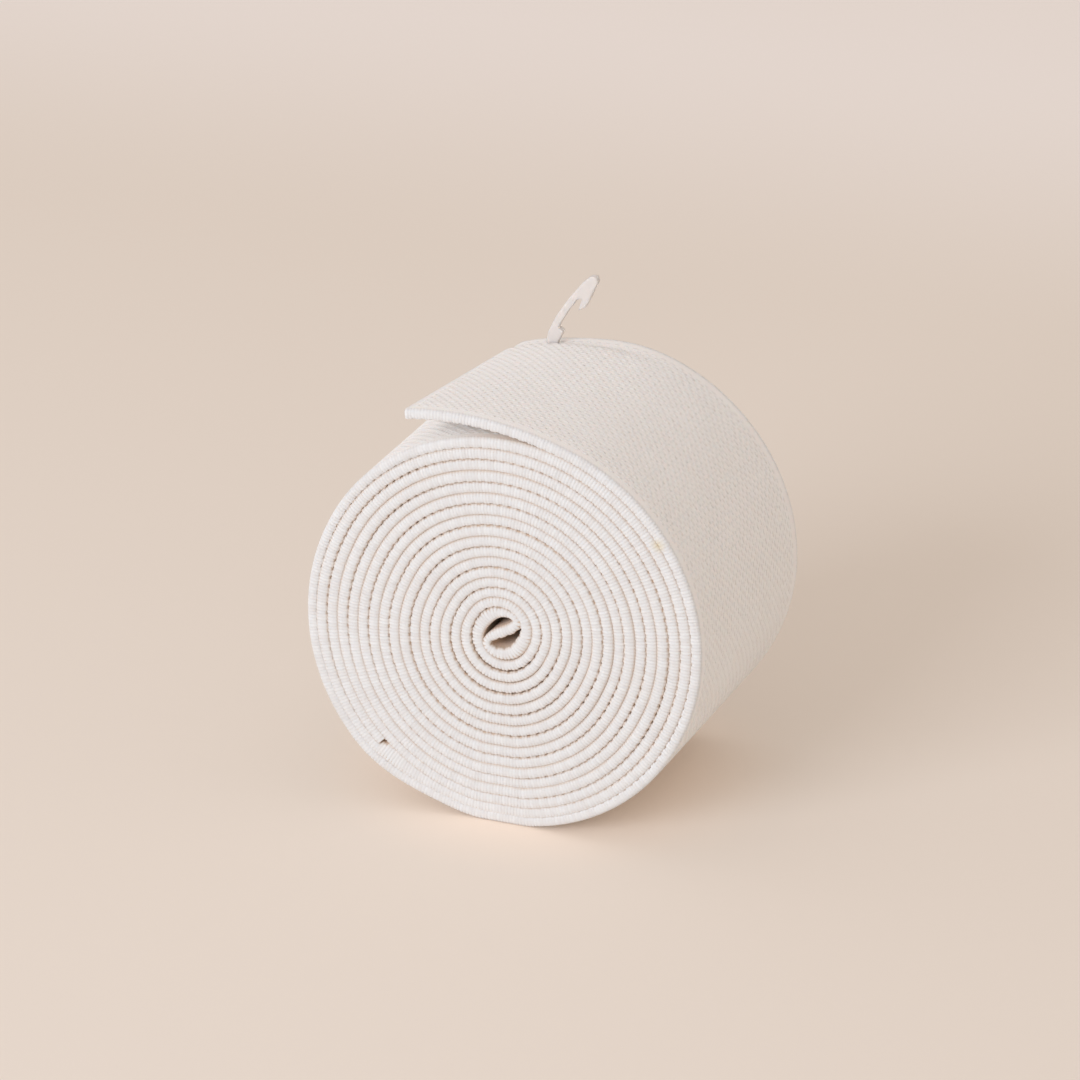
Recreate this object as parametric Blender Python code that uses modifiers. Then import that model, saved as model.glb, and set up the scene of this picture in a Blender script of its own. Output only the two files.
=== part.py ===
"""Roll of white woven elastic tape, folded in half and wound from the fold, with a plastic pin in its loose end.

Sizes are in millimetres and become metres when a mesh is made. X points right, Y back along the tape's width
and Z up. The origin is the middle of the flat spot that the roll rests on. The winding is drawn about its
core, in a plane across Y, and directions there are degrees from +X, turning from +X to +Z.
"""
import math

import bmesh
import bpy
from mathutils import Matrix, Vector

MM = 0.001
TURN = 360.0
HALF_TURN = 180.0

# The tape: woven elastic, a single length
TAPE_WIDTH = 30.0
TAPE_THICKNESS = 1.0

# The winding: two strands leave the fold on opposite sides and run out side by side.
# The strands lie a little looser as they get further from the core.
LAYER_PITCH = 1.066
PITCH_GROWTH = 0.0059
LAYERS_AT_CORE = 1.515
STATION_STEP = 7.5

# The fold at the core: the tape crosses the middle and bends sharply round both ends
FOLD_DIRECTION = 24.0
FOLD_SHARPNESS = 14.0
FOLD_POWER = 0.45
FOLD_STEP = 3.0
FOLD_LEFT_AT = 90.0

# The strand that ends inside the roll, and how soon the turns over it drop to the layer below
SHORT_STRAND_TURNED = 2747.0
DROP_BEFORE_END = 4.0
DROP_LENGTH = 29.0

# The strand that goes on to the loose end: its front corner stands off the roll and its back one lies on it
LONG_STRAND_TURNED = 3535.5
LOOSE_LENGTH = 44.0
LOOSE_LIFT = 2.9

# The turns hang slack at the lower left, less so near the core and on the outside of the roll, and are
# pressed flat at the foot
ROLL_RADIUS = 22.3
SLACK = 2.35
SLACK_DIRECTION = 247.0
SLACK_NARROWNESS = 1.38
SLACK_GROWTH_RADIUS = 8.0
SLACK_LOST_OUTSIDE = 0.7
FOOT_DIRECTION = 270.0

# The pin: pushed through the loose end near its back edge, its free end bent over into a hook
PIN_DIRECTION = 104.0
PIN_FROM_FRONT = 27.6
PIN_THICKNESS = 0.9
PIN_DEPTH = 0.9
PIN_HOLE_RADIUS = 0.95
PIN_HOLE_SIDES = 24
PIN_HOLE_DEPTH = 1.12
PIN_HOLE_HEIGHT = 3.0

# The pin's outline from the tape's outer face: along the tape, and out from it
PIN_OUTLINE = (
    ("shank left", -0.45, -PIN_DEPTH),
    ("foot left", -0.55, 0.0),
    ("stem left", 0.0, 1.4),
    ("stem bend", 1.45, 3.15),
    ("stem upper", 3.5, 5.0),
    ("crown left", 5.4, 6.45),
    ("crown top", 6.45, 7.0),
    ("crown right", 7.1, 6.85),
    ("crown edge", 7.15, 6.25),
    ("hook outer", 6.35, 5.3),
    ("hook bend", 5.65, 4.35),
    ("hook lower", 4.95, 3.6),
    ("hook tip", 4.1, 3.4),
    ("hook inner", 4.5, 4.1),
    ("notch right", 4.85, 4.6),
    ("notch left", 4.3, 4.65),
    ("stem inner", 2.85, 3.4),
    ("stem low", 1.7, 2.2),
    ("barb top", 1.35, 1.75),
    ("barb", 1.8, 1.2),
    ("foot right", 0.95, 0.25),
    ("shank right", 0.45, -PIN_DEPTH),
)


def clear_scene():
    """Remove every object of the open file."""
    for obj in list(bpy.data.objects):
        bpy.data.objects.remove(obj, do_unlink=True)


def new_collection(name):
    """Add a collection to the scene."""
    collection = bpy.data.collections.new(name)
    bpy.context.scene.collection.children.link(collection)
    return collection


def new_material(name, colour, roughness, alpha=1.0):
    """Make a non-metallic Principled material."""
    material = bpy.data.materials.new(name)
    material.use_nodes = True
    shader = material.node_tree.nodes["Principled BSDF"]
    shader.inputs["Base Color"].default_value = (*colour, 1.0)
    shader.inputs["Roughness"].default_value = roughness
    shader.inputs["Metallic"].default_value = 0.0
    shader.inputs["Alpha"].default_value = alpha
    return material


def ease(share):
    """Go smoothly from 0 to 1."""
    share = min(max(share, 0.0), 1.0)
    return share * share * (3.0 - 2.0 * share)


def layer_radius(layers):
    """Radius after so many layers from the core."""
    return LAYER_PITCH * layers + PITCH_GROWTH * layers * layers


def fold_opening(turned):
    """Share of its full radius that a strand has reached on its way out of the fold."""
    past_fold = max(turned - FOLD_DIRECTION, 0.0)
    return (1.0 - math.exp(-past_fold / FOLD_SHARPNESS)) ** FOLD_POWER


def short_strand_radius(turned):
    """Radius of the strand that ends inside the roll."""
    return layer_radius(turned / HALF_TURN + LAYERS_AT_CORE) * fold_opening(turned)


def long_strand_radius(turned):
    """Radius of the strand with the loose end. It drops a layer each time it passes the short strand's end."""
    layers = turned / HALF_TURN + LAYERS_AT_CORE
    first_pass = SHORT_STRAND_TURNED - DROP_BEFORE_END + HALF_TURN
    for passed in (first_pass, first_pass + TURN):
        layers -= ease((turned - passed) / DROP_LENGTH)
    return layer_radius(layers) * fold_opening(turned)


def slack_at(direction, radius):
    """How far a turn hangs out from its even spiral."""
    facing = max(math.cos(math.radians(direction - SLACK_DIRECTION)), 0.0) ** SLACK_NARROWNESS
    grown = 1.0 - math.exp(-radius / SLACK_GROWTH_RADIUS)
    kept = 1.0 - SLACK_LOST_OUTSIDE * (radius / ROLL_RADIUS) ** 3
    return SLACK * facing * grown * kept


def strand_point(strand_radius, turned, side, lift=0.0):
    """Point of a strand's middle line about the core. Side is the direction in which the strand leaves the fold."""
    direction = turned + side
    past_foot = (direction - FOOT_DIRECTION + HALF_TURN) % TURN - HALF_TURN
    radius = strand_radius(turned)
    radius += slack_at(direction, radius) + lift
    angle = math.radians(direction)
    x = radius * math.cos(angle)
    z = radius * math.sin(angle)
    if abs(past_foot) < STATION_STEP + 0.01 and turned > FOLD_LEFT_AT:
        foot_radius = strand_radius(turned - past_foot)
        foot_radius += slack_at(FOOT_DIRECTION, foot_radius)
        z = -foot_radius * math.cos(math.radians(STATION_STEP))
    return x, z


def turned_steps(last):
    """Angles at which a strand gets a station, from just past the fold to its end."""
    steps = []
    turned = FOLD_DIRECTION + FOLD_STEP
    while turned < FOLD_LEFT_AT:
        steps.append(turned)
        turned += FOLD_STEP
    turned = FOLD_LEFT_AT
    while turned < last - 0.5 * STATION_STEP:
        steps.append(turned)
        turned += STATION_STEP
    steps.append(last)
    return steps


def tape_lines():
    """Middle lines of the tape's front and back edges, from the inner end to the loose end."""
    short = [strand_point(short_strand_radius, turned, 0.0) for turned in turned_steps(SHORT_STRAND_TURNED)]
    front = short[::-1] + [(0.0, 0.0)]
    back = list(front)
    for turned in turned_steps(LONG_STRAND_TURNED):
        loose = max(turned - LONG_STRAND_TURNED + LOOSE_LENGTH, 0.0) / LOOSE_LENGTH
        lift = LOOSE_LIFT * loose * loose
        front.append(strand_point(long_strand_radius, turned, HALF_TURN, lift))
        back.append(strand_point(long_strand_radius, turned, HALF_TURN))
    return front, back


def core_height():
    """Height of the core over the flat spot, which is on the outermost turn."""
    turned = math.floor((LONG_STRAND_TURNED - 90.0) / TURN) * TURN + 90.0
    lowest = strand_point(long_strand_radius, turned, HALF_TURN)[1]
    return TAPE_THICKNESS / 2 - lowest


def make_tape(collection, material, height):
    """The tape: a strip across the roll's width that follows the winding, given its thickness by Solidify."""
    front, back = tape_lines()
    mesh = bpy.data.meshes.new("elastic_tape")
    strip = bmesh.new()
    pairs = []
    for (x_front, z_front), (x_back, z_back) in zip(front, back):
        near = strip.verts.new(Vector((x_front, -TAPE_WIDTH / 2, z_front + height)) * MM)
        far = strip.verts.new(Vector((x_back, TAPE_WIDTH / 2, z_back + height)) * MM)
        pairs.append((near, far))
    for (near, far), (next_near, next_far) in zip(pairs, pairs[1:]):
        strip.faces.new((near, next_near, next_far, far))
    strip.to_mesh(mesh)
    strip.free()
    tape = bpy.data.objects.new("elastic_tape", mesh)
    tape.data.materials.append(material)
    collection.objects.link(tape)
    thickness = tape.modifiers.new("Thickness", "SOLIDIFY")
    thickness.thickness = TAPE_THICKNESS * MM
    thickness.offset = 0.0
    thickness.use_even_offset = True
    return tape


def pin_place(height):
    """Matrix of the pin's own frame: X along the tape, Y to the back and Z out of its outer face."""
    turned = math.floor(LONG_STRAND_TURNED / TURN) * TURN + PIN_DIRECTION - HALF_TURN
    turned += TURN if turned < LONG_STRAND_TURNED - TURN else 0.0
    x, z = strand_point(long_strand_radius, turned, HALF_TURN)
    out = Vector((x, 0.0, z)).normalized()
    foot = Vector((x, PIN_FROM_FRONT - TAPE_WIDTH / 2, z + height)) + out * TAPE_THICKNESS / 2
    tilt = Matrix.Rotation(math.radians(90.0 - PIN_DIRECTION), 4, "Y")
    return Matrix.Translation(foot * MM) @ tilt


def make_pin(collection, material, place):
    """The pin: its flat outline, extruded to its thickness and turned to stand across the tape's width."""
    curve = bpy.data.curves.new("hooked_pin", "CURVE")
    curve.dimensions = "2D"
    curve.fill_mode = "BOTH"
    curve.extrude = PIN_THICKNESS / 2 * MM
    spline = curve.splines.new("POLY")
    spline.points.add(len(PIN_OUTLINE) - 1)
    spline.use_cyclic_u = True
    for point, (_, along, out) in zip(spline.points, PIN_OUTLINE):
        point.co = (along * MM, out * MM, 0.0, 1.0)
    pin = bpy.data.objects.new("hooked_pin", curve)
    pin.data.materials.append(material)
    pin.matrix_world = place @ Matrix.Rotation(math.radians(90.0), 4, "X")
    collection.objects.link(pin)
    return pin


def cut_pin_hole(collection, tape, place):
    """The hole that the pin makes: through the loose end, but not through the turn under it."""
    mesh = bpy.data.meshes.new("pin_hole")
    cutter = bmesh.new()
    bmesh.ops.create_cone(
        cutter, cap_ends=True, segments=PIN_HOLE_SIDES,
        radius1=PIN_HOLE_RADIUS * MM, radius2=PIN_HOLE_RADIUS * MM, depth=PIN_HOLE_HEIGHT * MM)
    lift = (PIN_HOLE_HEIGHT / 2 - PIN_HOLE_DEPTH) * MM
    bmesh.ops.translate(cutter, verts=cutter.verts, vec=(0.0, 0.0, lift))
    cutter.to_mesh(mesh)
    cutter.free()
    hole = bpy.data.objects.new("pin_hole", mesh)
    hole.matrix_world = place
    hole.hide_render = True
    hole.display_type = "WIRE"
    collection.objects.link(hole)
    cut = tape.modifiers.new("Pin hole", "BOOLEAN")
    cut.operation = "DIFFERENCE"
    cut.solver = "EXACT"
    cut.object = hole


def main():
    """Build the roll."""
    clear_scene()
    parts = new_collection("roll_of_elastic")
    cutters = new_collection("cutters")
    cloth = new_material("woven_elastic", (0.80, 0.77, 0.74), 0.9)
    plastic = new_material("clear_nylon", (0.82, 0.80, 0.78), 0.35, alpha=0.8)
    height = core_height()
    tape = make_tape(parts, cloth, height)
    place = pin_place(height)
    make_pin(parts, plastic, place)
    cut_pin_hole(cutters, tape, place)


main()
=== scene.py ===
"""Looks of the roll of woven elastic: the tape with its weave and selvedges, its cut end and its nylon pin.

The winding is worked out in millimetres about its core, in a plane across Y, with directions in degrees from
+X towards +Z. It becomes metres when a mesh is made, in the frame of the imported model: X right, Y back along
the tape's width and Z up, from the middle of the flat spot that the roll rests on.
"""
from __future__ import annotations

import logging
import math
from dataclasses import dataclass, field
from enum import Enum
from typing import Any

import bmesh
import bpy
import numpy as np
from mathutils import Matrix, Vector

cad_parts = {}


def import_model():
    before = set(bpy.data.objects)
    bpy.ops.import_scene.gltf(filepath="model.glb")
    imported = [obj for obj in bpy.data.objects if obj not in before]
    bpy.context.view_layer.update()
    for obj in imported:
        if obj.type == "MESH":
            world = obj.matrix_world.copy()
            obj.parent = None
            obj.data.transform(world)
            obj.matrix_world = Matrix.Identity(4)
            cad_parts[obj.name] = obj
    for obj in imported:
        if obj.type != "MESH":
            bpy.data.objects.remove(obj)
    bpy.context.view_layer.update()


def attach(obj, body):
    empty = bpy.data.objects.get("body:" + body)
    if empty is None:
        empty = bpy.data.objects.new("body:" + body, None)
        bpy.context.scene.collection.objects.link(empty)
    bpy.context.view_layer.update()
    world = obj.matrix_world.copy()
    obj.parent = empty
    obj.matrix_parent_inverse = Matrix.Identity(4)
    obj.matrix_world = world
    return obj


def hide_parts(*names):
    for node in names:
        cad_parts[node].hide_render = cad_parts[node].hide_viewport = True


LOG = logging.getLogger("roll_of_elastic")

MM = 0.001
TURN = 360.0
HALF_TURN = 180.0
QUARTER_TURN = 90.0
BODY = "root"

# Names of the point attributes that the trees and the materials read
FACING = "facing"
INWARD = "inward"
FULLNESS = "fullness"
SHADE = "shade"
# Share of the painted shade laid into the hollows between turns
GAP_SHADE_MASK = "hollow"
BURIED = "buried"


class Strand(Enum):
    """The two strands that run out from the fold, by the direction in which each one leaves it."""

    SHORT = 0.0
    LONG = 180.0


class Edge(Enum):
    """The tape's two selvedges, by their side along Y."""

    FRONT = -1.0
    BACK = 1.0


class Face(Enum):
    """The tape's two faces: the right side ends up on the outside of the roll."""

    RIGHT_SIDE = 1.0
    WRONG_SIDE = -1.0


class Seed(Enum):
    """Fixed seeds of what varies at random, one for each row of yarn."""

    FRONT_LOOPS = 3
    CUT_END = 5
    BACK_LOOPS = 7
    STITCHES = 11


def ease(share: float) -> float:
    """Go smoothly from 0 to 1."""
    share = min(max(share, 0.0), 1.0)
    return share * share * (3.0 - 2.0 * share)


def linear(colour: str) -> tuple[float, float, float, float]:
    """Turn an sRGB hex colour into a linear one.

    Args:
        colour: Six hex digits, with or without a leading #.

    Returns:
        Red, green, blue and an alpha of 1.
    """
    digits = colour.lstrip("#")
    values = [int(digits[place:place + 2], 16) / 255.0 for place in (0, 2, 4)]
    red, green, blue = (v / 12.92 if v <= 0.04045 else ((v + 0.055) / 1.055) ** 2.4 for v in values)
    return red, green, blue, 1.0


def add_node(tree: bpy.types.NodeTree, kind: str, inputs: dict[Any, Any] | None = None,
             **settings: Any) -> bpy.types.Node:
    """Add a node with its settings and links.

    Args:
        tree: The tree that gets the node.
        kind: The node's type name.
        inputs: Input name or index, to the socket that feeds it or the value that it holds.
        **settings: The node's own properties.

    Returns:
        The new node.
    """
    node = tree.nodes.new(kind)
    for name, value in settings.items():
        setattr(node, name, value)
    for name, value in (inputs or {}).items():
        if isinstance(value, bpy.types.NodeSocket):
            tree.links.new(value, node.inputs[name])
        else:
            node.inputs[name].default_value = value
    return node


def new_material(name: str) -> tuple[bpy.types.Material, bpy.types.NodeSocket]:
    """Start a material with an empty tree.

    Args:
        name: The material's name.

    Returns:
        The material, and the point's place on the object, which its patterns follow.
    """
    material = bpy.data.materials.new(name)
    material.use_nodes = True
    material.node_tree.nodes.clear()
    place = add_node(material.node_tree, "ShaderNodeTexCoord").outputs["Object"]
    return material, place


def new_object(name: str, mesh: bpy.types.Mesh) -> bpy.types.Object:
    """Put a mesh into the scene as an object at the origin."""
    piece = bpy.data.objects.new(name, mesh)
    bpy.context.scene.collection.objects.link(piece)
    return piece


def frozen_mesh(piece: bpy.types.Object, name: str) -> bpy.types.Mesh:
    """Read an object's evaluated shape as a plain mesh.

    Args:
        piece: The object, with its modifiers.
        name: The mesh's name.

    Returns:
        The mesh, with its materials and attributes.
    """
    bpy.context.view_layer.update()
    depsgraph = bpy.context.evaluated_depsgraph_get()
    mesh = bpy.data.meshes.new_from_object(
        piece.evaluated_get(depsgraph), preserve_all_data_layers=True, depsgraph=depsgraph)
    mesh.name = name
    return mesh


def set_vectors(mesh: bpy.types.Mesh, name: str, values: np.ndarray) -> None:
    """Store a vector for each point of a mesh."""
    layer = mesh.attributes.new(name, "FLOAT_VECTOR", "POINT")
    layer.data.foreach_set("vector", np.asarray(values, np.float32).ravel())


def set_floats(mesh: bpy.types.Mesh, name: str, values: np.ndarray) -> None:
    """Store a number for each point of a mesh."""
    layer = mesh.attributes.new(name, "FLOAT", "POINT")
    layer.data.foreach_set("value", np.asarray(values, np.float32).ravel())


def tube_mesh(name: str, rings: list[list[Vector]]) -> bpy.types.Mesh:
    """Skin a tube over rings of points, and close its ends.

    Args:
        name: The mesh's name.
        rings: The rings from one end to the other, in millimetres, with the same count of points in each.

    Returns:
        The mesh, in metres.
    """
    tube = bmesh.new()
    made = [[tube.verts.new(point * MM) for point in ring] for ring in rings]
    for ring, following in zip(made, made[1:]):
        for corner, start in enumerate(ring):
            other = (corner + 1) % len(ring)
            tube.faces.new((start, ring[other], following[other], following[corner]))
    tube.faces.new(made[0])
    tube.faces.new(made[-1])
    bmesh.ops.recalc_face_normals(tube, faces=tube.faces)
    mesh = bpy.data.meshes.new(name)
    tube.to_mesh(mesh)
    tube.free()
    mesh.shade_smooth()
    return mesh


@dataclass(frozen=True)
class Winding:
    """The tape's middle line: folded in half, and wound from the fold with its two strands side by side.

    The tape is thick for so sharp a fold, so both its bends stand out from the spiral. The strands lie a
    little looser as they get further from the core, hang slack at the lower left, and are pressed flat at the
    foot. The spiral's values are those of the part's solids. The fold is closer to the real one than theirs.
    """

    layer_pitch: float = 1.066
    pitch_growth: float = 0.0059
    layers_at_core: float = 1.515
    fold_direction: float = 27.0
    fold_sharpness: float = 5.0
    fold_power: float = 0.5
    fold_push: float = 0.42
    fold_push_length: float = 45.0
    fold_centre: tuple[float, float] = (0.33, 0.08)
    fold_reach: float = 1.3
    fold_left_at: float = 90.0
    core_turned: float = 150.0
    core_samples: int = 400
    sample_angle: float = 2.0
    short_turned: float = 2747.0
    drop_before_end: float = 4.0
    drop_length: float = 29.0
    long_turned: float = 3535.5
    loose_length: float = 44.0
    loose_lift: float = 2.9
    roll_radius: float = 22.3
    slack: float = 2.35
    slack_direction: float = 247.0
    slack_narrowness: float = 1.38
    slack_growth_radius: float = 8.0
    slack_lost_outside: float = 0.7
    foot_direction: float = 270.0
    foot_half_angle: float = 7.5
    solid_thickness: float = 1.0

    def layers_out(self, strand: Strand, turned: float) -> float:
        """Count the layers from the core to a strand. The long one drops a layer over the short one's end."""
        layers = turned / HALF_TURN + self.layers_at_core
        if strand is Strand.LONG:
            first_pass = self.short_turned - self.drop_before_end + HALF_TURN
            for passed in (first_pass, first_pass + TURN):
                layers -= ease((turned - passed) / self.drop_length)
        return layers

    def layer_room(self, layers: float) -> float:
        """Thickness that one layer has to itself, so many layers out from the core."""
        return self.layer_pitch + 2.0 * self.pitch_growth * layers

    def radius(self, strand: Strand, turned: float) -> float:
        """Radius of a strand's even spiral, with its opening out of the fold."""
        layers = self.layers_out(strand, turned)
        past_fold = max(turned - self.fold_direction, 0.0)
        opening = (1.0 - math.exp(-past_fold / self.fold_sharpness)) ** self.fold_power
        push = self.fold_push * math.exp(-(past_fold / self.fold_push_length) ** 2)
        return (self.layer_pitch * layers + self.pitch_growth * layers * layers + push) * opening

    def slack_at(self, direction: float, radius: float) -> float:
        """How far a turn hangs out from its even spiral."""
        facing = max(math.cos(math.radians(direction - self.slack_direction)), 0.0) ** self.slack_narrowness
        grown = 1.0 - math.exp(-radius / self.slack_growth_radius)
        kept = 1.0 - self.slack_lost_outside * (radius / self.roll_radius) ** 3
        return self.slack * facing * grown * kept

    def point(self, strand: Strand, turned: float, lift: float = 0.0) -> tuple[float, float]:
        """Find a point of a strand's middle line.

        Args:
            strand: The strand.
            turned: Degrees that it has turned since it left the fold.
            lift: How far it stands off the roll.

        Returns:
            X and Z about the core.
        """
        direction = turned + strand.value
        past_foot = (direction - self.foot_direction + HALF_TURN) % TURN - HALF_TURN
        radius = self.radius(strand, turned)
        radius += self.slack_at(direction, radius) + lift
        angle = math.radians(direction)
        x = radius * math.cos(angle)
        z = radius * math.sin(angle)
        if abs(past_foot) < self.foot_half_angle and turned > self.fold_left_at:
            foot_radius = self.radius(strand, turned - past_foot)
            foot_radius += self.slack_at(self.foot_direction, foot_radius)
            z = -foot_radius * math.cos(math.radians(self.foot_half_angle))
        near_fold = math.exp(-(radius / self.fold_reach) ** 2)
        return x + self.fold_centre[0] * near_fold, z + self.fold_centre[1] * near_fold

    def lift(self, turned: float) -> float:
        """How far the loose end's front corner side stands off the roll."""
        loose = max(turned - self.loose_from(), 0.0) / self.loose_length
        return self.loose_lift * loose * loose

    def loose_from(self) -> float:
        """Degrees turned where the loose end starts."""
        return self.long_turned - self.loose_length

    def uncovered_from(self) -> float:
        """Degrees turned where no other turn covers the right side any more."""
        return self.long_turned - TURN - self.loose_length

    def core_height(self) -> float:
        """Height of the core over the flat spot, which is on the outermost turn."""
        down = self.foot_direction - Strand.LONG.value
        turned = math.floor((self.long_turned - down) / TURN) * TURN + down
        return self.solid_thickness / 2 - self.point(Strand.LONG, turned)[1]

    def stations(self, strand: Strand, step: float, core_step: float) -> list[float]:
        """Choose the angles at which a strand gets a station, evenly spaced along the tape.

        Args:
            strand: The strand.
            step: Length of tape from one station to the next.
            core_step: The same, near the fold.

        Returns:
            Degrees turned since the fold, up to the strand's end.
        """
        last = self.long_turned if strand is Strand.LONG else self.short_turned
        near = self.fold_direction + np.linspace(0.0, 1.0, self.core_samples) ** 3 * self.core_turned
        turned = np.concatenate([near, np.arange(near[-1], last, self.sample_angle)[1:], [last]])
        places = np.array([self.point(strand, angle) for angle in turned])
        along = np.concatenate([[0.0], np.cumsum(np.hypot(*np.diff(places, axis=0).T))])
        core_length = np.interp(near[-1], turned, along)
        wanted = np.concatenate([
            np.arange(core_step, core_length, core_step),
            np.linspace(core_length, along[-1], int((along[-1] - core_length) / step))])
        return list(np.interp(wanted, along, turned))


@dataclass
class TapeRun:
    """The tape's middle surface, station by station from its inner end to its loose end, in millimetres.

    The tape drifts a little to the front and the back as it is wound, in waves that each have a share, a
    length and a start.
    """

    winding: Winding
    width: float = 30.0
    station_step: float = 0.9
    core_step: float = 0.22
    filled: float = 1.135
    looser: float = 0.035
    looser_direction: float = 135.0
    fold_half: float = 0.64
    bend_half: float = 0.47
    fold_length: float = 1.5
    uneven: float = 0.10
    drift_waves: tuple[tuple[float, float, float], ...] = ((0.6, 19.0, 0.0), (0.4, 7.3, 1.0))
    smoothing_passes: int = 7
    smoothed_turned: float = 110.0
    notch_length: float = 0.8
    core_swell: float = 0.44
    core_swell_turned: float = 142.0
    core_swell_spread: float = 55.0
    lines: dict[Edge, np.ndarray] = field(init=False)
    facing: dict[Edge, np.ndarray] = field(init=False)
    along: np.ndarray = field(init=False)
    half: dict[Face, np.ndarray] = field(init=False)
    notch: np.ndarray = field(init=False)
    uncovered: np.ndarray = field(init=False)
    long_turned: np.ndarray = field(init=False)

    def __post_init__(self) -> None:
        """Work out the stations."""
        wind = self.winding
        short = wind.stations(Strand.SHORT, self.station_step, self.core_step)[::-1]
        long = wind.stations(Strand.LONG, self.station_step, self.core_step)
        self.long_turned = np.array([-turned for turned in short] + [0.0] + long)
        front = [wind.point(Strand.SHORT, turned) for turned in short] + [wind.fold_centre]
        back = list(front)
        front += [wind.point(Strand.LONG, turned, wind.lift(turned)) for turned in long]
        back += [wind.point(Strand.LONG, turned) for turned in long]
        flat = {
            Edge.FRONT: self.eased_fold(np.array(front)),
            Edge.BACK: self.eased_fold(np.array(back))}
        steps = np.hypot(*np.diff(flat[Edge.BACK], axis=0).T)
        self.along = np.concatenate([[0.0], np.cumsum(steps)])
        drift = self.uneven * sum(
            share * np.sin(self.along / length + start) for share, length, start in self.drift_waves)
        height = wind.core_height()
        self.lines = {}
        for edge, line in flat.items():
            y = edge.value * self.width / 2 + drift
            self.lines[edge] = np.column_stack([line[:, 0], y, line[:, 1] + height])
        across = self.lines[Edge.BACK] - self.lines[Edge.FRONT]
        self.facing = {}
        for edge, line in self.lines.items():
            facing = np.cross(across, np.gradient(line, axis=0))
            self.facing[edge] = facing / np.linalg.norm(facing, axis=1, keepdims=True)
        self.set_thickness(short, long)

    def eased_fold(self, line: np.ndarray) -> np.ndarray:
        """Round the line's bends at the fold, where the formula turns more sharply than the tape can."""
        line = line.copy()
        near = np.flatnonzero(np.abs(self.long_turned) < self.smoothed_turned)[1:-1]
        for _ in range(self.smoothing_passes):
            line[near] += 0.5 * ((line[near - 1] + line[near + 1]) / 2 - line[near])
        return line

    def set_thickness(self, short: list[float], long: list[float]) -> None:
        """Give each station its half thickness on both faces. The tape fills the room that it has.

        The turns lie a little looser at the upper left and the lower right than between. The tape is squeezed
        thin round the two bends of the fold and swells between them, and again inside the first half turn.
        Where the long strand passes over the short one's end, it swells into the room that is left there, but
        its selvedges leave a small notch.

        Args:
            short: Degrees turned at the short strand's stations, from its end to the fold.
            long: Degrees turned at the long strand's stations, from the fold to its end.
        """
        wind = self.winding
        layers = [wind.layers_out(Strand.SHORT, turned) for turned in short]
        layers += [wind.layers_at_core]
        layers += [wind.layers_out(Strand.LONG, turned) for turned in long]
        room = np.array([wind.layer_room(count) for count in layers])
        from_looser = np.radians(np.abs(self.long_turned) - self.looser_direction)
        half = (self.filled - self.looser * np.cos(2.0 * from_looser)) * room / 2
        from_fold = np.abs(self.along - self.along[len(short)])
        bend = np.exp(-((from_fold - 2.0 * self.fold_length) / self.fold_length) ** 2)
        half += (self.bend_half - half) * bend
        fold = np.exp(-(from_fold / self.fold_length) ** 4)
        half += (self.fold_half - half) * fold
        passed = wind.short_turned - wind.drop_before_end + HALF_TURN
        last_drop = passed + wind.drop_length
        dropped = np.array([ease((turned - passed) / wind.drop_length) for turned in self.long_turned])
        over_end = (self.long_turned > wind.short_turned + HALF_TURN) & (self.long_turned < last_drop)
        past_end = self.along - np.interp(wind.short_turned + HALF_TURN, self.long_turned, self.along)
        swelling = np.where(over_end, (1.0 - dropped) * room, 0.0)
        self.notch = swelling * np.exp(-(past_end / self.notch_length) ** 2)
        uncovered_from = wind.uncovered_from()
        self.uncovered = np.array([
            ease((turned - uncovered_from) / wind.loose_length) for turned in self.long_turned])
        past = (np.abs(self.long_turned) - self.core_swell_turned) / self.core_swell_spread
        swell = self.core_swell * np.exp(-past * past)
        outer = half + (wind.solid_thickness / 2 - half) * self.uncovered
        self.half = {
            Face.RIGHT_SIDE: outer + swell * (self.long_turned < 0.0),
            Face.WRONG_SIDE: half + swelling + swell * (self.long_turned > 0.0)}

    def length(self) -> float:
        """Length of the tape."""
        return float(self.along[-1])

    def loose(self) -> np.ndarray:
        """Whether each station is in the loose end."""
        return self.long_turned > self.winding.loose_from()

    def surface(self, y: float, offset: np.ndarray | float) -> tuple[np.ndarray, np.ndarray]:
        """Points at one place across the tape, all along it.

        Args:
            y: Place across the tape, from its middle.
            offset: Distance out from the middle surface, towards the right side.

        Returns:
            The points, and the direction out of the right side at each.
        """
        share = y / self.width + 0.5
        middle = self.lines[Edge.FRONT] * (1.0 - share) + self.lines[Edge.BACK] * share
        facing = self.facing[Edge.FRONT] * (1.0 - share) + self.facing[Edge.BACK] * share
        facing /= np.linalg.norm(facing, axis=1, keepdims=True)
        return middle + facing * np.reshape(offset, (-1, 1)), facing


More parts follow.
